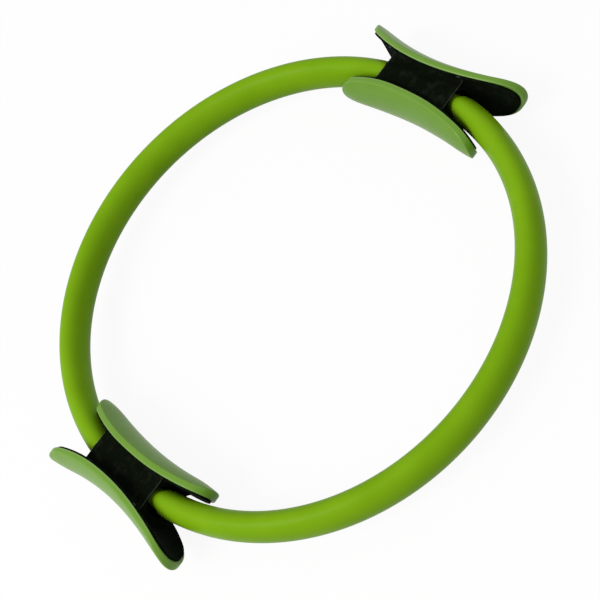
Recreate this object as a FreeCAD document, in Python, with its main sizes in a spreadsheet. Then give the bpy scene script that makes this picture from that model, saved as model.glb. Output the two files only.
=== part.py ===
import FreeCAD, Part
import math
import os
import re
import Sketcher
from FreeCAD import Placement, Rotation, Vector

# A pilates ring lying flat: +Z is the axis of the hoop, +X runs through the right handle,
# and the origin is on the floor below the centre. Lengths are in millimetres.
# Each row is a name, a size and what it measures.
SIZE_ROWS = (
    ("hoop_radius", 174, "centreline radius of the two half hoops"),
    ("hoop_straight", 10, "straight end of a half hoop, up to the middle of a handle"),
    ("foam_thickness", 19.9, "foam sleeve across, along the hoop's radius"),
    ("foam_width", 29.4, "foam sleeve across, along the hoop's axis"),
    ("foam_insert", 8, "length of foam inside a handle's recess"),
    ("foam_end_gap", 0.3, "foam end to the recess's floor"),
    ("band_thickness", 3, "fibreglass spring band, along the radius"),
    ("band_width", 18, "fibreglass spring band, along the axis"),
    ("band_play", 0.15, "clearance round the band"),
    ("band_end_gap", 0.3, "band end to the handle's middle wall"),
    ("sleeve_length", 66.6, "handle sleeve along the hoop"),
    ("sleeve_thickness", 27.2, "handle sleeve across, along the radius"),
    ("sleeve_width", 34.6, "handle sleeve across, along the axis"),
    ("recess_thickness", 24.2, "oval recess in the sleeve's mouth, along the radius"),
    ("recess_width", 31.6, "oval recess in the sleeve's mouth, along the axis"),
    ("recess_offset", 1, "recess axis inside the hoop's centreline"),
    ("recess_chamfer", 0.5, "chamfer of the recess's mouth"),
    ("middle_wall", 6, "wall between the slots for the two bands"),
    ("mouth_flare", 6, "hollow rounding from the sleeve's ends to the paddles"),
    ("neck_drop", 0.4, "flat side of a neck below the sleeve's crest"),
    ("neck_fillet", 3, "hollow fillet from neck to paddle"),
    ("neck_sink", 0.4, "end of the neck's fillet below the paddle's back"),
    ("flange_thickness", 1.5, "moulded paddle behind the pad"),
    ("flange_inset", 1.6, "pad's sides beyond the moulded paddle"),
    ("flange_tip_inset", 2.2, "pad's tips beyond the moulded paddle"),
    ("glue_gap", 0.1, "glue between pad and paddle"),
    ("pad_round", 2.6, "rounding of a pad's front edge"),
    ("outer_reach", 12.4, "hoop centreline to the back of the outer paddle"),
    ("outer_sweep", 238, "radius of the outer paddle's hollow, along the hoop"),
    ("outer_roll", 60, "radius of the outer paddle's back, across the hoop"),
    ("outer_pad_thickness", 6, "outer pad"),
    ("outer_length", 141.5, "outer pad, tip to tip"),
    ("outer_width", 56, "outer pad, along the axis"),
    ("outer_flat", 18, "straight stretch of the outer pad's sides"),
    ("outer_tip", 23, "tip radius of the outer pad"),
    ("inner_reach", 14.4, "hoop centreline to the back of the inner paddle"),
    ("inner_sweep", 298.5, "radius of the inner paddle's hollow, along the hoop"),
    ("inner_roll", 93.5, "radius of the inner paddle's back, across the hoop"),
    ("inner_pad_thickness", 7.6, "inner pad"),
    ("inner_length", 128, "inner pad, tip to tip"),
    ("inner_width", 44, "inner pad, along the axis"),
    ("inner_flat", 26, "straight stretch of the inner pad's sides"),
    ("inner_tip", 17, "tip radius of the inner pad"),
    ("screw_place", 14, "handle middle to a screw"),
    ("screw_diameter", 5, "screw shank"),
    ("screw_bite", 8, "screw's length in the handle beyond the band"),
    ("screw_end_gap", 1, "screw's end to the bottom of its hole"),
    ("thread_play", 0.05, "clearance of the screw in its threaded hole"),
    ("hole_play", 0.25, "clearance of the screw in its other holes"),
    ("head_diameter", 10, "screw's head"),
    ("head_height", 1.6, "screw's head"),
    ("head_sink", 0.15, "screw's head below the paddle's face"),
    ("driver_slot", 1.2, "width of the slot in the screw's head"),
    ("driver_depth", 0.7, "depth of the slot in the screw's head"),
    ("cut_over", 5, "overrun of cuts past what they cut"),
)
SIZE_NAMES = {name for name, size, meaning in SIZE_ROWS}

# Positions shared by several pieces, worked out from the sizes above.
REST_HEIGHT = "max(outer_width; inner_width) / 2"
FOAM_START = "(sleeve_length / 2 - foam_insert)"
RECESS_FLOOR = f"({FOAM_START} - foam_end_gap)"
BAND_SLOT = "band_thickness + 2 * band_play"
BAND_SLOT_WIDTH = "band_width + 2 * band_play"
SCREW_SEAT = "(inner_reach + flange_thickness - head_sink - head_height)"
SCREW_END = "(band_thickness / 2 + screw_bite)"
SCREW_HOLE = "screw_diameter + 2 * hole_play"
# How near to a surface an edge's points lie, when edges are picked for rounding.
EDGE_TOLERANCE = 0.001
# Degrees that the flares at a sleeve's ends lean by, near enough to start their sketch.
FLARE_LEAN = 30

doc = FreeCAD.newDocument("pilates_ring")
sheet = doc.addObject("Spreadsheet::Sheet", "Sizes")
for row, (name, size, meaning) in enumerate(SIZE_ROWS, start=1):
    sheet.set(f"A{row}", meaning)
    sheet.set(f"B{row}", str(size))
    sheet.setAlias(f"B{row}", name)
doc.recompute()


def bound(text):
    """The text with each size's name turned into its cell."""
    return re.sub(r"[a-z_]+", lambda m: f"Sizes.{m[0]}" if m[0] in SIZE_NAMES else m[0], text)


def value(text):
    found = sheet.evalExpression(bound(text))
    return float(getattr(found, "Value", found))


# Bodies, sketches and features

def new_body(label, turn=0, x="0", y="0"):
    """An empty body at its place in the ring, turned about the ring's axis."""
    body = doc.addObject("PartDesign::Body", label)
    body.Label = label
    body.AllowCompound = True
    body.Placement = Placement(Vector(), Rotation(Vector(0, 0, 1), turn))
    body.setExpression("Placement.Base.x", bound(x))
    body.setExpression("Placement.Base.y", bound(y))
    body.setExpression("Placement.Base.z", bound(REST_HEIGHT))
    return body


def new_sketch(body, role, along="0", aside="0", turn=0):
    """A sketch on an origin plane, moved along the plane's normal or its own x axis."""
    sketch = body.newObject("Sketcher::SketchObject", f"{body.Label}_sketch")
    plane = next(feature for feature in body.Origin.OriginFeatures if feature.Role == role)
    sketch.AttachmentSupport = [(plane, "")]
    sketch.MapMode = "FlatFace"
    sketch.AttachmentOffset = Placement(Vector(), Rotation(Vector(0, 0, 1), turn))
    sketch.setExpression("AttachmentOffset.Base.x", bound(aside))
    sketch.setExpression("AttachmentOffset.Base.z", bound(along))
    return sketch


def add_feature(body, kind, profile, reverse=False, symmetric=False):
    feature = body.newObject(f"PartDesign::{kind}", f"{body.Label}_{kind}")
    feature.Profile = profile
    feature.Reversed = reverse
    if kind in ("Pad", "Pocket"):
        feature.SideType = "Symmetric" if symmetric else "One side"
    else:
        feature.ReferenceAxis = (profile, ["V_Axis"])
        feature.Midplane = True
    return feature


def pad(body, sketch, length, reverse=False, symmetric=False):
    feature = add_feature(body, "Pad", sketch, reverse, symmetric)
    feature.setExpression("Length", bound(length))
    doc.recompute()


def pocket(body, sketch, length=None, reverse=False, symmetric=False):
    """A cut against the sketch's normal, or along it if reversed; with no length it goes through."""
    doc.recompute()
    before = body.Shape.Volume
    feature = add_feature(body, "Pocket", sketch, reverse, symmetric)
    if length:
        feature.setExpression("Length", bound(length))
    else:
        feature.Type = "ThroughAll"
    doc.recompute()
    if body.Shape.Volume >= before:
        raise RuntimeError(f"a cut in {body.Label} removes nothing")


def revolve(body, sketch, angle):
    feature = add_feature(body, "Revolution", sketch)
    feature.setExpression("Angle", bound(angle))
    doc.recompute()


def dress(body, kind, size, wanted):
    """Rounds or chamfers each edge of the body whose every point is wanted."""
    base = body.Tip
    names = []
    for number, edge in enumerate(base.Shape.Edges, start=1):
        if all(wanted(point) for point in edge.discretize(Number=5)):
            names.append(f"Edge{number}")
    feature = body.newObject(f"PartDesign::{kind}", f"{body.Label}_{kind}")
    feature.Base = (base, names)
    feature.setExpression("Radius" if kind == "Fillet" else "Size", bound(size))
    doc.recompute()


# Sketch shapes, each fixed by constraints that follow the sheet

def dimension(sketch, kind, places, text):
    index = sketch.addConstraint(Sketcher.Constraint(kind, *places, value(text)))
    sketch.renameConstraint(index, f"size_{index}")
    sketch.setExpression(f"Constraints.size_{index}", bound(text))


def place_x(sketch, shape, point, text):
    """Sets how far right of the sketch's origin a point lies, or left if it is below zero."""
    if value(text) >= 0:
        dimension(sketch, "DistanceX", (-1, 1, shape, point), text)
    else:
        dimension(sketch, "DistanceX", (shape, point, -1, 1), f"-({text})")


def constrain(sketch, *rules):
    sketch.addConstraint([Sketcher.Constraint(*rule) for rule in rules])


def add_line(sketch, start, end):
    return sketch.addGeometry(Part.LineSegment(Vector(*start), Vector(*end)))


def add_arc(sketch, centre, radius, start, end):
    circle = Part.Circle(Vector(*centre), Vector(0, 0, 1), radius)
    return sketch.addGeometry(Part.ArcOfCircle(circle, start, end))


def rectangle(sketch, left, width, height):
    """A rectangle that lies evenly about the sketch's x axis."""
    x0 = value(left)
    x1 = x0 + value(width)
    top = value(height) / 2
    low_side = add_line(sketch, (x0, -top), (x1, -top))
    right_side = add_line(sketch, (x1, -top), (x1, top))
    top_side = add_line(sketch, (x1, top), (x0, top))
    left_side = add_line(sketch, (x0, top), (x0, -top))
    constrain(
        sketch,
        ("Coincident", low_side, 2, right_side, 1),
        ("Coincident", right_side, 2, top_side, 1),
        ("Coincident", top_side, 2, left_side, 1),
        ("Coincident", left_side, 2, low_side, 1),
        ("Horizontal", low_side),
        ("Horizontal", top_side),
        ("Vertical", right_side),
        ("Symmetric", left_side, 1, left_side, 2, -1),
    )
    place_x(sketch, left_side, 1, left)
    dimension(sketch, "DistanceX", (low_side, 1, low_side, 2), width)
    dimension(sketch, "DistanceY", (left_side, 2, left_side, 1), height)


def ellipse(sketch, centre, width, height):
    """An upright ellipse with its centre on the sketch's x axis."""
    x = value(centre)
    top = Vector(x, value(height) / 2)
    side = Vector(x + value(width) / 2, 0)
    shape = sketch.addGeometry(Part.Ellipse(top, side, Vector(x, 0)))
    sketch.exposeInternalGeometry(shape)
    long_axis, short_axis = shape + 1, shape + 2
    constrain(sketch, ("Vertical", long_axis), ("PointOnObject", shape, 3, -1))
    place_x(sketch, shape, 3, centre)
    dimension(sketch, "Distance", (long_axis,), height)
    dimension(sketch, "Distance", (short_axis,), width)


def circle(sketch, x, diameter):
    """A circle with its centre on the sketch's x axis."""
    shape = sketch.addGeometry(Part.Circle(Vector(value(x), 0), Vector(0, 0, 1), value(diameter) / 2))
    constrain(sketch, ("PointOnObject", shape, 3, -1))
    place_x(sketch, shape, 3, x)
    dimension(sketch, "Diameter", (shape,), diameter)


def oval(sketch, length, width, flat, tip):
    """A paddle's outline: two straight sides, four shoulder arcs and two tip arcs, all tangent."""
    half_length, half_width = value(length) / 2, value(width) / 2
    half_flat, tip_radius = value(flat) / 2, value(tip)
    run = half_length - tip_radius - half_flat
    shoulder = (run**2 + half_width**2 - tip_radius**2) / (2 * (half_width - tip_radius))
    drop = shoulder - half_width
    turn = math.atan2(drop, run)
    quarter = math.pi / 2
    tip_x = half_length - tip_radius
    shapes = [
        add_arc(sketch, (tip_x, 0), tip_radius, -turn, turn),
        add_arc(sketch, (half_flat, -drop), shoulder, turn, quarter),
        add_line(sketch, (half_flat, half_width), (-half_flat, half_width)),
        add_arc(sketch, (-half_flat, -drop), shoulder, quarter, 2 * quarter - turn),
        add_arc(sketch, (-tip_x, 0), tip_radius, 2 * quarter - turn, 2 * quarter + turn),
        add_arc(sketch, (-half_flat, drop), shoulder, 2 * quarter + turn, 3 * quarter),
        add_line(sketch, (-half_flat, -half_width), (half_flat, -half_width)),
        add_arc(sketch, (half_flat, drop), shoulder, -quarter, -turn),
    ]
    for shape, following in zip(shapes, shapes[1:] + shapes[:1]):
        constrain(sketch, ("Tangent", shape, 2, following, 1))
    right_tip, right_shoulder, top, left_shoulder, left_tip, _, low, _ = shapes
    constrain(
        sketch,
        ("Symmetric", top, 1, top, 2, -2),
        ("Symmetric", low, 1, low, 2, -2),
        ("PointOnObject", right_tip, 3, -1),
        ("PointOnObject", left_tip, 3, -1),
        ("Equal", right_tip, left_tip),
        ("Equal", right_shoulder, left_shoulder),
    )
    dimension(sketch, "DistanceY", (-1, 1, top, 1), f"({width}) / 2")
    dimension(sketch, "DistanceY", (low, 1, -1, 1), f"({width}) / 2")
    dimension(sketch, "DistanceX", (top, 2, top, 1), flat)
    dimension(sketch, "DistanceX", (low, 1, low, 2), flat)
    dimension(sketch, "Radius", (right_tip,), tip)
    dimension(sketch, "DistanceX", (left_tip, 3, right_tip, 3), f"{length} - 2 * ({tip})")


def saddle_band(sketch, which, back, front):
    """A bowed band between two arcs about one centre; turned about the y axis it is a saddle."""
    reach = f"{which}_sweep + {which}_roll"
    rim = f"({which}_width + cut_over) / 2"
    centre, top = value(reach), value(rim)
    arcs = []
    for radius in (value(back), value(front)):
        rise = math.asin(top / radius)
        arcs.append(add_arc(sketch, (centre, 0), radius, math.pi - rise, math.pi + rise))
    back_arc, front_arc = arcs
    back_x = centre - math.sqrt(value(back) ** 2 - top**2)
    front_x = centre - math.sqrt(value(front) ** 2 - top**2)
    top_side = add_line(sketch, (back_x, top), (front_x, top))
    low_side = add_line(sketch, (back_x, -top), (front_x, -top))
    constrain(
        sketch,
        ("Coincident", back_arc, 1, top_side, 1),
        ("Coincident", top_side, 2, front_arc, 1),
        ("Coincident", back_arc, 2, low_side, 1),
        ("Coincident", low_side, 2, front_arc, 2),
        ("Coincident", back_arc, 3, front_arc, 3),
        ("PointOnObject", back_arc, 3, -1),
        ("Horizontal", top_side),
        ("Horizontal", low_side),
    )
    place_x(sketch, back_arc, 3, reach)
    dimension(sketch, "Radius", (back_arc,), back)
    dimension(sketch, "Radius", (front_arc,), front)
    dimension(sketch, "DistanceY", (-1, 1, top_side, 1), rim)
    dimension(sketch, "DistanceY", (low_side, 1, -1, 1), rim)


def neck_profile(sketch, which):
    """The neck's section: straight sides that flare by hollow fillets into the paddle's back."""
    sweep, roll = f"{which}_sweep", f"{which}_roll"
    root = f"{sweep} + {which}_reach"
    sunk = f"{roll} + flange_thickness / 2"
    edge = f"{roll} + neck_sink"
    fillet_run = f"{edge} - neck_fillet"
    half, fillet = value("sleeve_width / 2 - neck_drop"), value("neck_fillet")
    centre, root_x = value(f"{sweep} + {roll}"), value(root)
    aside = half + fillet
    back = math.sqrt(value(fillet_run) ** 2 - aside**2)
    fillet_x = centre - back
    rise = math.atan2(aside, back)
    edge_x, edge_y = centre - value(edge) * math.cos(rise), value(edge) * math.sin(rise)
    sunk_x, sunk_y = centre - value(sunk) * math.cos(rise), value(sunk) * math.sin(rise)
    half_turn = math.pi
    base = add_line(sketch, (root_x, -half), (root_x, half))
    top_side = add_line(sketch, (root_x, half), (fillet_x, half))
    top_fillet = add_arc(sketch, (fillet_x, aside), fillet, half_turn - rise, half_turn * 1.5)
    top_step = add_line(sketch, (edge_x, edge_y), (sunk_x, sunk_y))
    crown = add_arc(sketch, (centre, 0), value(sunk), half_turn - rise, half_turn + rise)
    low_step = add_line(sketch, (sunk_x, -sunk_y), (edge_x, -edge_y))
    low_fillet = add_arc(sketch, (fillet_x, -aside), fillet, half_turn / 2, half_turn + rise)
    low_side = add_line(sketch, (fillet_x, -half), (root_x, -half))
    constrain(
        sketch,
        ("Coincident", base, 2, top_side, 1),
        ("Tangent", top_side, 2, top_fillet, 2),
        ("Perpendicular", top_fillet, 1, top_step, 1),
        ("Perpendicular", top_step, 2, crown, 1),
        ("Perpendicular", crown, 2, low_step, 1),
        ("Perpendicular", low_step, 2, low_fillet, 2),
        ("Tangent", low_fillet, 1, low_side, 1),
        ("Coincident", low_side, 2, base, 1),
        ("Symmetric", base, 1, base, 2, -1),
        ("Horizontal", top_side),
        ("Horizontal", low_side),
        ("PointOnObject", crown, 3, -1),
        ("Equal", top_fillet, low_fillet),
    )
    place_x(sketch, base, 1, root)
    place_x(sketch, crown, 3, f"{sweep} + {roll}")
    dimension(sketch, "DistanceY", (base, 1, base, 2), "sleeve_width - 2 * neck_drop")
    dimension(sketch, "Radius", (top_fillet,), "neck_fillet")
    dimension(sketch, "Radius", (crown,), sunk)
    dimension(sketch, "Distance", (top_fillet, 3, crown, 3), fillet_run)
    dimension(sketch, "Distance", (low_fillet, 3, crown, 3), fillet_run)


def mouth_hollow(sketch, left, right):
    """What is cut away past a sleeve's end: it widens by rounded corners into the paddles' backs."""
    near, flare = value("sleeve_length / 2"), value("mouth_flare")
    low_x, high_x = value(left), value(right)
    lean = math.radians(FLARE_LEAN)
    run, rise = flare * math.cos(lean), flare * (1 - math.sin(lean))
    far, spread = near + 4 * flare, 2 * flare
    base = add_line(sketch, (low_x + run, near), (high_x - run, near))
    right_flare = add_arc(sketch, (high_x - run, near + flare), flare, -math.pi / 2, -lean)
    right_side = add_line(sketch, (high_x, near + rise), (high_x + spread, far))
    top = add_line(sketch, (high_x + spread, far), (low_x - spread, far))
    left_side = add_line(sketch, (low_x - spread, far), (low_x, near + rise))
    left_flare = add_arc(sketch, (low_x + run, near + flare), flare, math.pi + lean, math.pi * 3 / 2)
    constrain(
        sketch,
        ("Tangent", base, 2, right_flare, 1),
        ("Tangent", right_flare, 2, right_side, 1),
        ("Coincident", right_side, 2, top, 1),
        ("Coincident", top, 2, left_side, 1),
        ("Tangent", left_side, 2, left_flare, 1),
        ("Tangent", left_flare, 2, base, 1),
        ("Horizontal", base),
        ("Horizontal", top),
        ("Equal", right_flare, left_flare),
    )
    place_x(sketch, right_flare, 2, right)
    place_x(sketch, top, 1, f"{right} + 2 * mouth_flare")
    place_x(sketch, left_flare, 1, left)
    place_x(sketch, top, 2, f"{left} - 2 * mouth_flare")
    dimension(sketch, "Radius", (right_flare,), "mouth_flare")
    dimension(sketch, "DistanceY", (-1, 1, base, 1), "sleeve_length / 2")
    dimension(sketch, "DistanceY", (base, 1, top, 1), "4 * mouth_flare")


# Half hoops: y is measured from the arc's centre, which lies hoop_straight from the handles' line

def half_hoop_body(label, rear):
    return new_body(label, 180 if rear else 0, y="hoop_straight" if rear else "-hoop_straight")


def make_spring_band(label, rear):
    body = half_hoop_body(label, rear)
    section = new_sketch(body, "YZ_Plane", turn=180)
    rectangle(section, "hoop_radius - band_thickness / 2", "band_thickness", "band_width")
    revolve(body, section, "180")
    ends = new_sketch(body, "XZ_Plane")
    rectangle(ends, "hoop_radius - band_thickness / 2", "band_thickness", "band_width")
    rectangle(ends, "-hoop_radius - band_thickness / 2", "band_thickness", "band_width")
    pad(body, ends, "hoop_straight - middle_wall / 2 - band_end_gap", reverse=True)
    hole = new_sketch(body, "YZ_Plane")
    circle(hole, "hoop_straight - screw_place", SCREW_HOLE)
    pocket(body, hole, symmetric=True)
    return body


def make_foam_sleeve(label, rear):
    body = half_hoop_body(label, rear)
    section = new_sketch(body, "YZ_Plane", turn=180)
    ellipse(section, "hoop_radius", "foam_thickness", "foam_width")
    rectangle(section, f"hoop_radius - ({BAND_SLOT}) / 2", BAND_SLOT, BAND_SLOT_WIDTH)
    reach = "hoop_radius - foam_thickness / 2"
    revolve(body, section, f"180 deg - 2 * asin(({FOAM_START} - hoop_straight) / ({reach}))")
    return body


# Handles: x is measured outward from the hoop's centreline, y along the hoop

def handle_body(label, left):
    return new_body(label, 180 if left else 0, x="-hoop_radius" if left else "hoop_radius")


def saddle_angle(which, front):
    """The turn that carries a saddle past both tips of its paddle."""
    return f"2 * asin(({which}_length / 2 + cut_over) / ({front}))"


def saddle_sketch(body, which):
    """A sketch whose y axis is the axis that a paddle is swept about."""
    if which == "outer":
        return new_sketch(body, "XZ_Plane", aside="outer_reach + outer_sweep", turn=180)
    return new_sketch(body, "XZ_Plane", aside="-inner_reach - inner_sweep")


def on_saddle(which, depth):
    """A test for points on the surface that lies a depth in front of a paddle's back."""
    axis = value("outer_reach + outer_sweep" if which == "outer" else "-inner_reach - inner_sweep")
    ring, tube = value(f"{which}_sweep + {which}_roll"), value(f"{which}_roll + {depth}")

    def test(point):
        out = math.hypot(point.x - axis, point.y) - ring
        return abs(math.hypot(out, point.z) - tube) < EDGE_TOLERANCE

    return test


def on_recess_mouth(point):
    across = (point.x + value("recess_offset")) / value("recess_thickness / 2")
    up = point.z / value("recess_width / 2")
    at_end = abs(point.y) > value("sleeve_length / 2") - EDGE_TOLERANCE
    return at_end and abs(math.hypot(across, up) - 1) < EDGE_TOLERANCE


def cut_outline(body, which, inset, tip_inset):
    """Cuts away all of a saddle that lies outside the paddle's outline, from its rim outward."""
    roll, rim = f"{which}_roll", f"({which}_width + cut_over) / 2"
    start = f"({which}_reach - {roll} + sqrt({roll}^2 - ({rim})^2))"
    sketch = new_sketch(body, "YZ_Plane", along=start if which == "outer" else f"-{start}")
    length, width = f"{which}_length - 2 * {tip_inset}", f"{which}_width - 2 * {inset}"
    oval(sketch, length, width, f"{which}_flat", f"{which}_tip - {inset}")
    rectangle(sketch, f"-{which}_length", f"2 * {which}_length", f"2 * {which}_width")
    pocket(body, sketch, reverse=which == "outer")


def make_moulding(label, left):
    """Sleeve, necks and both moulded paddles, with recesses, band slots and screw holes."""
    body = handle_body(label, left)
    sleeve = new_sketch(body, "XZ_Plane")
    ellipse(sleeve, "0", "sleeve_thickness", "sleeve_width")
    pad(body, sleeve, "sleeve_length + 2 * mouth_flare", symmetric=True)
    for which in ("outer", "inner"):
        neck = saddle_sketch(body, which)
        neck_profile(neck, which)
        revolve(body, neck, f"2 * asin((sleeve_length / 2 + 2 * mouth_flare) / {which}_sweep)")
    outer_side, inner_side = (
        f"({which}_reach + (sleeve_length / 2)^2 / (2 * {which}_sweep))"
        for which in ("outer", "inner")
    )
    rear_end = new_sketch(body, "XY_Plane")
    mouth_hollow(rear_end, f"-{inner_side}", outer_side)
    pocket(body, rear_end, symmetric=True)
    front_end = new_sketch(body, "XY_Plane", turn=180)
    mouth_hollow(front_end, f"-{outer_side}", inner_side)
    pocket(body, front_end, symmetric=True)
    for which in ("outer", "inner"):
        flange = saddle_sketch(body, which)
        front = f"{which}_roll + flange_thickness"
        saddle_band(flange, which, f"{which}_roll", front)
        revolve(body, flange, saddle_angle(which, f"{which}_sweep - flange_thickness"))
        cut_outline(body, which, "flange_inset", "flange_tip_inset")
    bow = f"({RECESS_FLOOR} - hoop_straight)^2 / (2 * hoop_radius)"
    for end in (1, -1):
        recess = new_sketch(body, "XZ_Plane", along=f"{end} * {RECESS_FLOOR}")
        ellipse(recess, "-recess_offset", "recess_thickness", "recess_width")
        pocket(body, recess, reverse=end > 0)
        slot = new_sketch(body, "XZ_Plane", along=f"{end} * middle_wall / 2")
        rectangle(slot, f"-({BAND_SLOT}) / 2 - {bow}", f"{BAND_SLOT} + {bow}", BAND_SLOT_WIDTH)
        pocket(body, slot, reverse=end > 0)
    passage = new_sketch(body, "YZ_Plane")
    thread = new_sketch(body, "YZ_Plane")
    seat = new_sketch(body, "YZ_Plane", along=f"-{SCREW_SEAT}")
    for side in (1, -1):
        circle(passage, f"{side} * screw_place", SCREW_HOLE)
        circle(thread, f"{side} * screw_place", "screw_diameter + 2 * thread_play")
        circle(seat, f"{side} * screw_place", "head_diameter + 2 * hole_play")
    pocket(body, passage)
    pocket(body, thread, f"{SCREW_END} + screw_end_gap", reverse=True)
    pocket(body, seat)
    dress(body, "Chamfer", "recess_chamfer", on_recess_mouth)
    return body


def make_pad(label, left, which):
    """A foam pad on a paddle's face: a thick saddle, cut to the outline, with a rounded rim."""
    body = handle_body(label, left)
    band = saddle_sketch(body, which)
    back = f"{which}_roll + flange_thickness + glue_gap"
    front = f"{which}_roll + flange_thickness + {which}_pad_thickness"
    saddle_band(band, which, back, front)
    revolve(body, band, saddle_angle(which, f"{which}_sweep - flange_thickness - {which}_pad_thickness"))
    cut_outline(body, which, "0", "0")
    dress(body, "Fillet", "pad_round", on_saddle(which, f"flange_thickness + {which}_pad_thickness"))
    return body


def make_screws(label, left):
    """Two slotted screws, driven outward from under the inner pad, one through each band."""
    body = handle_body(label, left)
    seat = new_sketch(body, "YZ_Plane", along=f"-{SCREW_SEAT}")
    shank = new_sketch(body, "YZ_Plane", along=f"-{SCREW_SEAT}")
    top = new_sketch(body, "YZ_Plane", along=f"-{SCREW_SEAT} - head_height")
    for side in (1, -1):
        circle(seat, f"{side} * screw_place", "head_diameter")
        circle(shank, f"{side} * screw_place", "screw_diameter")
        rectangle(top, f"{side} * screw_place - head_diameter / 2", "head_diameter", "driver_slot")
    pad(body, seat, "head_height", reverse=True)
    pad(body, shank, f"{SCREW_SEAT} + {SCREW_END}")
    pocket(body, top, "driver_depth", reverse=True)
    return body


parts = []
for side, rear in (("front", False), ("rear", True)):
    parts.append(make_spring_band(f"{side}_spring_band", rear))
    parts.append(make_foam_sleeve(f"{side}_foam_sleeve", rear))
for hand, left in (("right", False), ("left", True)):
    parts.append(make_moulding(f"{hand}_handle_moulding", left))
    parts.append(make_pad(f"{hand}_outer_pad", left, "outer"))
    parts.append(make_pad(f"{hand}_inner_pad", left, "inner"))
    parts.append(make_screws(f"{hand}_screws", left))

doc.recompute()
for thing in doc.Objects:
    if "Invalid" in thing.State or "Error" in thing.State:
        raise RuntimeError(f"{thing.Name} failed: {thing.State}")
for part in parts:
    if part.Shape.isNull() or not part.Shape.isValid():
        raise RuntimeError(f"{part.Label} has no valid shape")

os.makedirs("parts", exist_ok=True)
for part in parts:
    part.Shape.exportStep(f"parts/{part.Label}.step")
    print(part.Label, len(part.Shape.Solids), round(part.Shape.Volume))
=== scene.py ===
import math

import bmesh
import bpy
from mathutils import Matrix, Vector


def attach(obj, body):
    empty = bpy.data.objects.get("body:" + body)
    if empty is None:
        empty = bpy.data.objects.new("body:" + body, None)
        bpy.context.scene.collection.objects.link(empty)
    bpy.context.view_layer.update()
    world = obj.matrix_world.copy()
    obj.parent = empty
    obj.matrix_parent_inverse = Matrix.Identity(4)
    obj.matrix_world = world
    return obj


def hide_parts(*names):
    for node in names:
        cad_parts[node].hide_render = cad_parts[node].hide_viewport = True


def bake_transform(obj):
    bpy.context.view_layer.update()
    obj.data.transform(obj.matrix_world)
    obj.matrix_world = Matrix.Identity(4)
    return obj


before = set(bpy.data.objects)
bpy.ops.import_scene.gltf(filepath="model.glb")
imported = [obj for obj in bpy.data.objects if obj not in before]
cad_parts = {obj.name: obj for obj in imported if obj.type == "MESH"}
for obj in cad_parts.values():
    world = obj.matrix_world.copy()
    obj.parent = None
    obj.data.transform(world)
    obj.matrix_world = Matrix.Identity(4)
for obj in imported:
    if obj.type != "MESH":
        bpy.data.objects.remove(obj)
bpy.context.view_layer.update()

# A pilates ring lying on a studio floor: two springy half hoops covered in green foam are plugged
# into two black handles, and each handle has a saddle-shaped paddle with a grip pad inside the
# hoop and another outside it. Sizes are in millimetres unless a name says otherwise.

MM = 0.001
# Points nearer to each other than this are made one.
WELD = 0.001
# Keeps a division from failing where a direction has no part along an axis.
TINY = 1e-9
# Edges that turn by more than this are drawn sharp, on foam pieces and on plastic or metal ones.
SOFT_SHARP_DEGREES = 50
HARD_SHARP_DEGREES = 35

# The hoop. Each half's arc is centred HOOP_STRAIGHT beyond the middle, on its own side, and its foam
# starts FOAM_END from the middle of a handle.
HOOP_RADIUS = 174.0
HOOP_STRAIGHT = 10.0
HOOP_HEIGHT = 28.0
FOAM_THICKNESS = 19.9
FOAM_WIDTH = 29.4
FOAM_END = 25.3
FOAM_EDGE_ROUND = 0.8
# The foam is nipped in, to a rounded end, where it enters a handle's mouth: fully up to NIP_FROM
# from the handle's middle, and not at all from NIP_TO on.
NIP_DEPTH = 2.8
NIP_FROM = 33.0
NIP_TO = 43.0
# The band fills this slot in the foam.
BAND_SLOT = 3.3
BAND_SLOT_WIDTH = 18.3
FOAM_STEPS_ALONG = 168
FOAM_STEPS_ROUND = 56
FOAM_EDGE_STEPS = 4

# The handles' sleeves end this far from their middle, and the painted highlight on the rim of a mouth
# reaches this deep.
SLEEVE_END = 33.3
MOUTH_REACH = 1.2

# The paddles, outside the hoop (side 1) and inside it (side -1). Reach is from the hoop's centreline
# to the paddle's back, sweep is the radius of its long hollow and roll the radius of the bow across
# it. The rest is its pad's: pad is the thickness with the glue, edge the same at the rim along the
# sides, flat the straight stretch of a side and tip the radius of an end.
OUTER_PADDLE = dict(side=1, reach=12.4, sweep=238.0, roll=60.0, pad=6.0, edge=4.3,
                    length=141.5, width=56.0, flat=18.0, tip=23.0)
INNER_PADDLE = dict(side=-1, reach=14.4, sweep=298.5, roll=93.5, pad=7.6, edge=5.1,
                    length=128.0, width=44.0, flat=26.0, tip=17.0)
PADDLE_THICKNESS = 1.5
GLUE_GAP = 0.1
PAD_RIDGE_ROUND = 1.3
PAD_BACK_ROUND = 0.9
# A pad's front stands this much above the pad's thickness in the middle, and this share of its dome
# is missing at the tips.
PAD_CROWN = 1.3
PAD_TIP_SHARE = 0.4
# Both faces of a pad close on a spine, which is this share of its length. The other shares are where
# the back and the front have points between the spine (0) and the rim (1).
PAD_SPINE_SHARE = 0.7
PAD_BACK_SHARES = (0, 0.25, 0.5, 0.75, 0.9)
PAD_FRONT_SHARES = (0.97, 0.93, 0.87, 0.8, 0.7, 0.6, 0.5, 0.4, 0.3, 0.2, 0.1, 0)
PAD_ROUND_STEPS = 7
TIP_STEPS = 16
SHOULDER_STEPS = 34
SIDE_STEPS = 8

# The camera, fitted to the photograph's outlines.
CAMERA_PLACE = Vector((-78.34, -553.17, 712.69))
CAMERA_AIM = Vector((-4.71, -21.82, 28.0))
CAMERA_ROLL_DEGREES = -46.704
CAMERA_LENS = 74.14
CAMERA_SENSOR = 36.0

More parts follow.
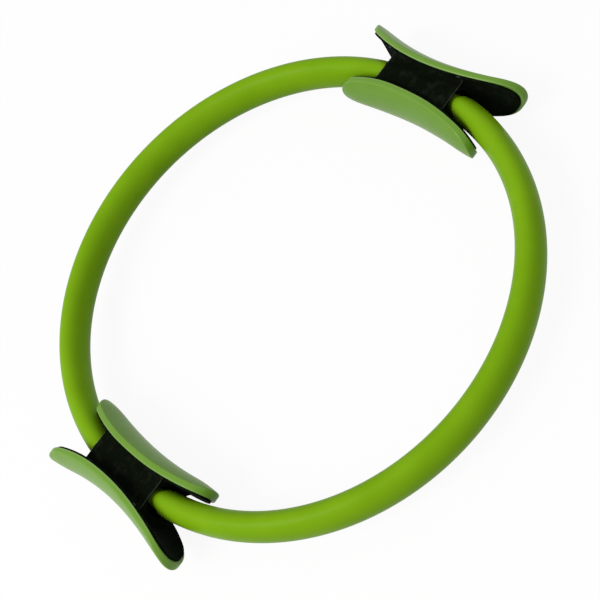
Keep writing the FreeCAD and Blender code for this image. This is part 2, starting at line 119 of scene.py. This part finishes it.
# The light: a broad soft lamp above the left handle, and an even fill from all round.
KEY_DIRECTION = Vector((-0.62, 0.0, 0.78))
KEY_DISTANCE_M = 3.6
KEY_SIZE_M = 2.2
KEY_WATTS = 78.0
FILL_STRENGTH = 0.49
FLOOR_SIZE_M = 6.0
FLOOR_DROP_M = 0.0005
FLOOR_SHADOW_SHARE = 0.08

# Sockets of a node that mixes two colours.
MIX_SHARE = 0
MIX_FIRST = 6
MIX_SECOND = 7
MIX_RESULT = 2
# Rays that look for a nearby edge, at each point of a surface.
EDGE_RAYS = 8


# Small helpers

def colour(hex_code):
    """An sRGB hex colour as the linear RGBA that a shader takes."""
    parts = [int(hex_code[i:i + 2], 16) / 255 for i in (1, 3, 5)]
    linear = [p / 12.92 if p <= 0.04045 else ((p + 0.055) / 1.055) ** 2.4 for p in parts]
    return (*linear, 1.0)


def per_metre(size):
    """A texture's scale for details that are this many millimetres across."""
    return 1 / (size * MM)


def quarter_turn(steps):
    """Angles from nothing to a right angle, in even steps."""
    return [math.pi / 2 * i / steps for i in range(steps + 1)]


def add(tree, kind, sockets=None, links=None, **settings):
    """Adds a node, with its settings, its sockets' values and the outputs that feed it."""
    node = tree.nodes.new(kind)
    for name, value in settings.items():
        setattr(node, name, value)
    for name, value in (sockets or {}).items():
        node.inputs[name].default_value = value
    for name, output in (links or {}).items():
        tree.links.new(output, node.inputs[name])
    return node


def new_material(name):
    """A material and its node tree, which is still empty."""
    material = bpy.data.materials.new(name)
    material.use_nodes = True
    material.node_tree.nodes.clear()
    return material, material.node_tree


def background_rays(tree):
    """An output that is 1 for the rays that see the background as white, from the camera or by way
    of gloss or glass, and 0 for those that only carry light."""
    rays = add(tree, "ShaderNodeLightPath").outputs
    seen = add(tree, "ShaderNodeMath", None,
               {0: rays["Is Camera Ray"], 1: rays["Is Glossy Ray"]}, operation="MAXIMUM")
    shown = add(tree, "ShaderNodeMath", None,
                {0: seen.outputs[0], 1: rays["Is Transmission Ray"]}, operation="MAXIMUM")
    return shown.outputs[0]


# Materials

def extruded_foam():
    """Closed-cell rubber foam, extruded as a tube: a satin skin with faint cloudy patches and a
    fine pore grain."""
    material, tree = new_material("closed_cell_rubber_foam_tube")
    place = add(tree, "ShaderNodeTexCoord").outputs["Object"]
    clouds = add(tree, "ShaderNodeTexNoise", {"Scale": per_metre(26), "Detail": 2.0},
                 {"Vector": place}).outputs["Fac"]
    tint = add(tree, "ShaderNodeMix", {MIX_FIRST: colour("#75A508"), MIX_SECOND: colour("#85B418")},
               {MIX_SHARE: clouds}, data_type="RGBA")
    # Real pores are about 0.2 mm, too fine for the picture, so they are drawn 0.9 mm across.
    pores = add(tree, "ShaderNodeTexNoise", {"Scale": per_metre(0.9), "Detail": 3.0},
                {"Vector": place}).outputs["Fac"]
    rough = add(tree, "ShaderNodeMapRange", {"To Min": 0.3, "To Max": 0.42}, {"Value": pores})
    bump = add(tree, "ShaderNodeBump", {"Strength": 0.12, "Distance": 0.1 * MM}, {"Height": pores})
    surface = add(tree, "ShaderNodeBsdfPrincipled",
                  {"IOR": 1.5, "Specular IOR Level": 0.05},
                  {"Base Color": tint.outputs[MIX_RESULT], "Roughness": rough.outputs["Result"],
                   "Normal": bump.outputs["Normal"]})
    add(tree, "ShaderNodeOutputMaterial", None, {"Surface": surface.outputs["BSDF"]})
    return material


def moulded_foam():
    """EVA foam, pressed in a polished mould: a dense satin skin that looks paler where it is seen
    edge-on, with the fine grain of the foam under it."""
    material, tree = new_material("moulded_eva_foam_pad")
    place = add(tree, "ShaderNodeTexCoord").outputs["Object"]
    clouds = add(tree, "ShaderNodeTexNoise", {"Scale": per_metre(18), "Detail": 2.0},
                 {"Vector": place}).outputs["Fac"]
    cloudy = add(tree, "ShaderNodeMix", {MIX_FIRST: colour("#6A972A"), MIX_SECOND: colour("#74A138")},
                 {MIX_SHARE: clouds}, data_type="RGBA")
    # The back edge and the ridge of the front are painted paler: a painted highlight where their
    # roundings catch the light.
    cover = add(tree, "ShaderNodeAmbientOcclusion", {"Distance": 1.4 * MM}, inside=True,
                only_local=True, samples=EDGE_RAYS).outputs["AO"]
    painted_edge_highlight = add(tree, "ShaderNodeMapRange", {"From Min": 0.95, "From Max": 0.55, "To Max": 0.6},
                 {"Value": cover})
    tint = add(tree, "ShaderNodeMix", {MIX_SECOND: colour("#A9C584")},
               {MIX_SHARE: painted_edge_highlight.outputs["Result"], MIX_FIRST: cloudy.outputs[MIX_RESULT]},
               data_type="RGBA")
    # Real cells are about 0.15 mm, too fine for the picture, so they are drawn 0.8 mm across.
    cells = add(tree, "ShaderNodeTexNoise", {"Scale": per_metre(0.8), "Detail": 3.0},
                {"Vector": place}).outputs["Fac"]
    rough = add(tree, "ShaderNodeMapRange", {"To Min": 0.5, "To Max": 0.66}, {"Value": cells})
    bump = add(tree, "ShaderNodeBump", {"Strength": 0.15, "Distance": 0.1 * MM}, {"Height": cells})
    surface = add(tree, "ShaderNodeBsdfPrincipled",
                  {"IOR": 1.5, "Specular IOR Level": 0.1, "Coat Weight": 0.38,
                   "Coat Roughness": 0.2, "Coat IOR": 1.45},
                  {"Base Color": tint.outputs[MIX_RESULT], "Roughness": rough.outputs["Result"],
                   "Normal": bump.outputs["Normal"]})
    add(tree, "ShaderNodeOutputMaterial", None, {"Surface": surface.outputs["BSDF"]})
    return material


def moulded_plastic():
    """Black polypropylene, injection moulded in a sparked steel mould: a matt black with a fine
    grain, and pale scuffs and dust where hands and mats rub it."""
    material, tree = new_material("black_moulded_polypropylene")
    place = add(tree, "ShaderNodeTexCoord").outputs["Object"]
    # The spark grain is about 0.1 mm, too fine for the picture, so it is drawn 0.7 mm across.
    grain = add(tree, "ShaderNodeTexNoise", {"Scale": per_metre(0.7), "Detail": 4.0},
                {"Vector": place}).outputs["Fac"]
    rubs = add(tree, "ShaderNodeTexNoise", {"Scale": per_metre(9), "Detail": 6.0, "Roughness": 0.7},
               {"Vector": place}).outputs["Fac"]
    worn = add(tree, "ShaderNodeMapRange", {"From Min": 0.5, "From Max": 0.85}, {"Value": rubs})
    scuffed = add(tree, "ShaderNodeMix", {MIX_FIRST: colour("#0D130B"), MIX_SECOND: colour("#272D23")},
                  {MIX_SHARE: worn.outputs["Result"]}, data_type="RGBA")
    # The sharp rims of the sleeve's mouths are painted paler: a painted highlight along their edges,
    # broken up unevenly by the rub noise.
    cover = add(tree, "ShaderNodeAmbientOcclusion", {"Distance": 0.8 * MM}, inside=True,
                only_local=True, samples=EDGE_RAYS).outputs["AO"]
    rim = add(tree, "ShaderNodeMapRange", {"From Min": 0.9, "From Max": 0.5}, {"Value": cover})
    along = add(tree, "ShaderNodeSeparateXYZ", None, {"Vector": place})
    from_middle = add(tree, "ShaderNodeMath", None, {0: along.outputs["Y"]}, operation="ABSOLUTE")
    at_mouth = add(tree, "ShaderNodeMath", {1: SLEEVE_END * MM, 2: MOUTH_REACH * MM},
                   {0: from_middle.outputs[0]}, operation="COMPARE")
    mouth_rim_highlight = add(tree, "ShaderNodeMath", None, {0: rim.outputs["Result"], 1: at_mouth.outputs[0]},
                 operation="MULTIPLY")
    broken_rim_highlight = add(tree, "ShaderNodeMath", None, {0: mouth_rim_highlight.outputs[0], 1: rubs}, operation="MULTIPLY")
    tint = add(tree, "ShaderNodeMix", {MIX_SECOND: colour("#666A61")},
               {MIX_SHARE: broken_rim_highlight.outputs[0], MIX_FIRST: scuffed.outputs[MIX_RESULT]},
               data_type="RGBA")
    rough = add(tree, "ShaderNodeMapRange", {"To Min": 0.56, "To Max": 0.72}, {"Value": rubs})
    bump = add(tree, "ShaderNodeBump", {"Strength": 0.2, "Distance": 0.08 * MM}, {"Height": grain})
    surface = add(tree, "ShaderNodeBsdfPrincipled",
                  {"IOR": 1.49, "Specular IOR Level": 0.003},
                  {"Base Color": tint.outputs[MIX_RESULT], "Roughness": rough.outputs["Result"],
                   "Normal": bump.outputs["Normal"]})
    add(tree, "ShaderNodeOutputMaterial", None, {"Surface": surface.outputs["BSDF"]})
    return material


def pultruded_fibreglass():
    """Glass rovings drawn through resin: straw-coloured, glossy, with fine streaks along the strip."""
    material, tree = new_material("pultruded_fibreglass_strip")
    place = add(tree, "ShaderNodeTexCoord").outputs["Object"]
    # The rovings lie side by side across the strip's width, about 1.2 mm each.
    across = add(tree, "ShaderNodeMapping", {"Scale": (per_metre(60), per_metre(60), per_metre(1.2))},
                 {"Vector": place}).outputs["Vector"]
    rovings = add(tree, "ShaderNodeTexNoise", {"Scale": 1.0, "Detail": 3.0},
                  {"Vector": across}).outputs["Fac"]
    tint = add(tree, "ShaderNodeMix", {MIX_FIRST: colour("#A1945C"), MIX_SECOND: colour("#E6DDB0")},
               {MIX_SHARE: rovings}, data_type="RGBA")
    bump = add(tree, "ShaderNodeBump", {"Strength": 0.2, "Distance": 0.05 * MM}, {"Height": rovings})
    surface = add(tree, "ShaderNodeBsdfPrincipled", {"IOR": 1.55, "Roughness": 0.35},
                  {"Base Color": tint.outputs[MIX_RESULT], "Normal": bump.outputs["Normal"]})
    add(tree, "ShaderNodeOutputMaterial", None, {"Surface": surface.outputs["BSDF"]})
    return material


def zinc_plate():
    """Steel with bright zinc plating: a cool grey metal, a little cloudy from the plating bath."""
    material, tree = new_material("zinc_plated_steel")
    place = add(tree, "ShaderNodeTexCoord").outputs["Object"]
    bloom = add(tree, "ShaderNodeTexNoise", {"Scale": per_metre(1.5), "Detail": 4.0},
                {"Vector": place}).outputs["Fac"]
    tint = add(tree, "ShaderNodeMix", {MIX_FIRST: colour("#AEB2B7"), MIX_SECOND: colour("#DBDDDE")},
               {MIX_SHARE: bloom}, data_type="RGBA")
    rough = add(tree, "ShaderNodeMapRange", {"To Min": 0.28, "To Max": 0.42}, {"Value": bloom})
    surface = add(tree, "ShaderNodeBsdfPrincipled", {"Metallic": 1.0},
                  {"Base Color": tint.outputs[MIX_RESULT], "Roughness": rough.outputs["Result"]})
    add(tree, "ShaderNodeOutputMaterial", None, {"Surface": surface.outputs["BSDF"]})
    return material


def studio_floor():
    """Matt studio paper: the camera and gloss see it white, with a faint shadow, but it throws only
    as much light up from below as pale grey paper."""
    material, tree = new_material("matt_studio_paper")
    paper = add(tree, "ShaderNodeBsdfDiffuse", {"Color": colour("#A0A09E")})
    bright_paper = add(tree, "ShaderNodeBsdfDiffuse", {"Color": colour("#FBFBFA")})
    glow = add(tree, "ShaderNodeEmission", {"Strength": 1.0})
    seen = add(tree, "ShaderNodeMixShader", {0: FLOOR_SHADOW_SHARE},
               {1: glow.outputs["Emission"], 2: bright_paper.outputs["BSDF"]})
    mixed = add(tree, "ShaderNodeMixShader", None,
                {0: background_rays(tree), 1: paper.outputs["BSDF"], 2: seen.outputs["Shader"]})
    add(tree, "ShaderNodeOutputMaterial", None, {"Surface": mixed.outputs["Shader"]})
    return material


# Shapes

def make_object(name, draw, material):
    """A smooth-shaded object from what a function draws in a bmesh, in millimetres."""
    bm = bmesh.new()
    draw(bm)
    bmesh.ops.remove_doubles(bm, verts=bm.verts, dist=WELD)
    bmesh.ops.recalc_face_normals(bm, faces=bm.faces)
    bmesh.ops.scale(bm, vec=(MM, MM, MM), verts=bm.verts)
    mesh = bpy.data.meshes.new(name)
    bm.to_mesh(mesh)
    bm.free()
    mesh.shade_smooth()
    mesh.set_sharp_from_angle(angle=math.radians(SOFT_SHARP_DEGREES))
    mesh.materials.append(material)
    piece = bpy.data.objects.new(name, mesh)
    bpy.context.scene.collection.objects.link(piece)
    return piece


def skin_rings(bm, rings, closed=False):
    """Quads between each ring of points and the next, and from the last to the first if closed."""
    loops = [[bm.verts.new(p) for p in ring] for ring in rings]
    if closed:
        loops.append(loops[0])
    for low, high in zip(loops, loops[1:]):
        for i in range(len(low)):
            j = (i + 1) % len(low)
            bm.faces.new((low[i], low[j], high[j], high[i]))


def foam_turns():
    """The directions, seen along the hoop, in which the foam and its slot have points."""
    return [math.tau * i / FOAM_STEPS_ROUND for i in range(FOAM_STEPS_ROUND)]


def foam_oval(shrink):
    """Points round the foam's section, drawn in by shrink."""
    return [((FOAM_THICKNESS / 2 - shrink) * math.cos(turn), (FOAM_WIDTH / 2 - shrink) * math.sin(turn))
            for turn in foam_turns()]


def slot_outline():
    """Points round the section of the slot that the band fills."""
    points = []
    for turn in foam_turns():
        c, s = math.cos(turn), math.sin(turn)
        out = min(BAND_SLOT / 2 / max(abs(c), TINY), BAND_SLOT_WIDTH / 2 / max(abs(s), TINY))
        points.append((out * c, out * s))
    return points


def foam_half(bm, half):
    """A foam tube swept round one half of the hoop (half is -1 for the front, 1 for the rear)."""
    start = math.asin((FOAM_END - HOOP_STRAIGHT) / (HOOP_RADIUS - FOAM_THICKNESS / 2))
    edge = FOAM_EDGE_ROUND / HOOP_RADIUS
    span = math.pi - 2 * start

    def ring(angle, section):
        return [((HOOP_RADIUS + r) * math.cos(angle),
                 half * (HOOP_STRAIGHT + (HOOP_RADIUS + r) * math.sin(angle)),
                 HOOP_HEIGHT + z) for r, z in section]

    def nip(angle):
        place = HOOP_STRAIGHT + HOOP_RADIUS * math.sin(angle)
        share = min(max((NIP_TO - place) / (NIP_TO - NIP_FROM), 0), 1)
        return NIP_DEPTH * (1 - math.sqrt(1 - share ** 2))

    ends = [(edge * (1 - math.sin(t)), FOAM_EDGE_ROUND * (1 - math.cos(t)))
            for t in quarter_turn(FOAM_EDGE_STEPS)]
    steps = [start + edge + (span - 2 * edge) * i / FOAM_STEPS_ALONG
             for i in range(1, FOAM_STEPS_ALONG)]
    first_end = [ring(start + along, foam_oval(NIP_DEPTH + shrink)) for along, shrink in reversed(ends)]
    outside = [ring(angle, foam_oval(nip(angle))) for angle in steps]
    last_end = [ring(math.pi - start - along, foam_oval(NIP_DEPTH + shrink)) for along, shrink in ends]
    slot = [ring(math.pi - start - span * i / FOAM_STEPS_ALONG, slot_outline())
            for i in range(FOAM_STEPS_ALONG + 1)]
    skin_rings(bm, first_end + outside + last_end + slot, closed=True)


def saddle_height(paddle, y, z, depth):
    """How far from the hoop's centreline a paddle's surface is, this deep in front of its back."""
    hollow = paddle["sweep"] + paddle["roll"] - math.sqrt((paddle["roll"] + depth) ** 2 - z * z)
    return paddle["reach"] + paddle["sweep"] - math.sqrt(hollow * hollow - y * y)


def oval_stations(paddle):
    """A pad's outline as (centre y, centre z, radius, angle), so that any inset is drawn exactly:
    an arc round each tip, longer arcs at the shoulders and straight sides between them."""
    half_width = paddle["width"] / 2
    tip = paddle["tip"]
    flat = paddle["flat"] / 2
    run = paddle["length"] / 2 - tip - flat
    shoulder = (run ** 2 + half_width ** 2 - tip ** 2) / (2 * (half_width - tip))
    drop = shoulder - half_width
    turn = math.atan2(drop, run)
    quarter = [(paddle["length"] / 2 - tip, 0, tip, turn * i / TIP_STEPS) for i in range(TIP_STEPS)]
    quarter += [(flat, -drop, shoulder, turn + (math.pi / 2 - turn) * i / SHOULDER_STEPS)
                for i in range(SHOULDER_STEPS)]
    quarter += [(flat * (1 - i / SIDE_STEPS), 0, half_width, math.pi / 2) for i in range(SIDE_STEPS)]
    quarter.append((0, 0, half_width, math.pi / 2))
    upper = quarter + [(-y, z, r, math.pi - a) for y, z, r, a in reversed(quarter[:-1])]
    return upper + [(y, -z, r, -a) for y, z, r, a in reversed(upper[1:-1])]


def pad_profile(paddle, tipness):
    """From the middle of a pad's back round its rim to the middle of its front: how much of the way
    out from the spine, how far inside the rim, and how deep. The front is domed, more across the pad
    than along it, so the rim is thinner along the sides (tipness 0) than at the tips (tipness 1)."""
    back = PADDLE_THICKNESS + GLUE_GAP
    top = PADDLE_THICKNESS + paddle["pad"] + PAD_CROWN
    dome = paddle["pad"] + PAD_CROWN - paddle["edge"]
    ridge = top - dome * (1 - PAD_TIP_SHARE * tipness)
    rounds = quarter_turn(PAD_ROUND_STEPS)
    profile = [(share, PAD_BACK_ROUND, back) for share in PAD_BACK_SHARES]
    profile += [(1, PAD_BACK_ROUND * (1 - math.sin(t)), back + PAD_BACK_ROUND * (1 - math.cos(t)))
                for t in rounds]
    # The ridge is rounded only until it runs on into the dome, a parabola with this slope at its rim.
    lean = math.atan(4 * (top - ridge) / paddle["width"])
    turns = [t * (1 - 2 * lean / math.pi) for t in rounds]
    profile += [(1, PAD_RIDGE_ROUND * (1 - math.cos(t)), ridge - PAD_RIDGE_ROUND * (1 - math.sin(t)))
                for t in turns]
    inset, low = profile[-1][1:]
    profile += [(share, inset, low + (top - low) * (1 - share ** 2)) for share in PAD_FRONT_SHARES]
    return profile


def pad(bm, paddle, handle):
    """A grip pad that follows its paddle (handle is 1 for the right one, -1 for the left)."""
    columns = []
    for centre_y, centre_z, radius, angle in oval_stations(paddle):
        column = []
        for share, inset, depth in pad_profile(paddle, math.cos(angle) ** 2):
            rim_y = centre_y + (radius - inset) * math.cos(angle)
            rim_z = centre_z + (radius - inset) * math.sin(angle)
            y = rim_y * (PAD_SPINE_SHARE + (1 - PAD_SPINE_SHARE) * share)
            z = rim_z * share
            x = HOOP_RADIUS + paddle["side"] * saddle_height(paddle, y, z, depth)
            column.append((handle * x, handle * y, HOOP_HEIGHT + z))
        columns.append(column)
    skin_rings(bm, list(zip(*columns)))


# The object

foam_skin = extruded_foam()
pad_skin = moulded_foam()
black_plastic = moulded_plastic()
fibreglass = pultruded_fibreglass()
plated_steel = zinc_plate()

for half, half_name in ((-1, "front"), (1, "rear")):
    tube = make_object(f"{half_name}_foam_tube", lambda bm: foam_half(bm, half), foam_skin)
    strip = bpy.data.objects.new(f"{half_name}_band_strip",
                                 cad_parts[f"{half_name}_spring_band"].data.copy())
    bpy.context.scene.collection.objects.link(strip)
    for i in range(len(strip.data.materials)):
        strip.data.materials[i] = fibreglass
    for piece, node, slot in ((tube, f"{half_name}_foam_sleeve", "hoop_foam"),
                              (strip, f"{half_name}_spring_band", "fibreglass")):
        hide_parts(node)
        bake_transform(piece)

for handle, handle_name in ((1, "right"), (-1, "left")):
    for paddle, paddle_name in ((OUTER_PADDLE, "outer"), (INNER_PADDLE, "inner")):
        grip = make_object(f"{handle_name}_{paddle_name}_grip",
                           lambda bm: pad(bm, paddle, handle), pad_skin)
        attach(grip, f"{handle_name}_handle")
        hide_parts(f"{handle_name}_{paddle_name}_pad")
    for node, material in ((f"{handle_name}_handle_moulding", black_plastic),
                           (f"{handle_name}_screws", plated_steel)):
        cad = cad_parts[node]
        for slot in cad.material_slots:
            slot.material = material
        cad.data.shade_smooth()
        cad.data.set_sharp_from_angle(angle=math.radians(HARD_SHARP_DEGREES))


# The studio's floor

bpy.ops.mesh.primitive_plane_add(size=FLOOR_SIZE_M, location=(0, 0, -FLOOR_DROP_M))
floor = bpy.context.object
floor.name = "studio_floor"
floor.data.materials.append(studio_floor())

# The fill light and white background

world = bpy.data.worlds.new("studio_fill")
bpy.context.scene.world = world
world.use_nodes = True
sky = world.node_tree
sky.nodes.clear()
fill = add(sky, "ShaderNodeBackground", {"Color": colour("#FFFFFF"), "Strength": FILL_STRENGTH})
white = add(sky, "ShaderNodeBackground", {"Color": colour("#FFFFFF"), "Strength": 1.0})
mixed = add(sky, "ShaderNodeMixShader", None,
            {0: background_rays(sky), 1: fill.outputs["Background"], 2: white.outputs["Background"]})
add(sky, "ShaderNodeOutputWorld", None, {"Surface": mixed.outputs["Shader"]})

# The lamp

lamp = bpy.data.lights.new("key_softbox", "AREA")
lamp.shape = "DISK"
lamp.size = KEY_SIZE_M
lamp.energy = KEY_WATTS
softbox = bpy.data.objects.new("key_softbox", lamp)
softbox.location = KEY_DIRECTION.normalized() * KEY_DISTANCE_M
softbox.rotation_euler = KEY_DIRECTION.to_track_quat("Z", "Y").to_euler()
bpy.context.scene.collection.objects.link(softbox)

# The camera

lens = bpy.data.cameras.new("photo_camera")
lens.lens = CAMERA_LENS
lens.sensor_width = CAMERA_SENSOR
camera = bpy.data.objects.new("photo_camera", lens)
ahead = (CAMERA_AIM - CAMERA_PLACE).normalized()
level = ahead.cross(Vector((0, 0, 1))).normalized()
upward = level.cross(ahead)
roll = math.radians(CAMERA_ROLL_DEGREES)
right = level * math.cos(roll) + upward * math.sin(roll)
up = right.cross(ahead)
facing = Matrix((right, up, -ahead)).transposed().to_4x4()
camera.matrix_world = Matrix.Translation(CAMERA_PLACE * MM) @ facing
bpy.context.scene.collection.objects.link(camera)
bpy.context.scene.camera = camera
bpy.context.scene.view_settings.view_transform = "Standard"
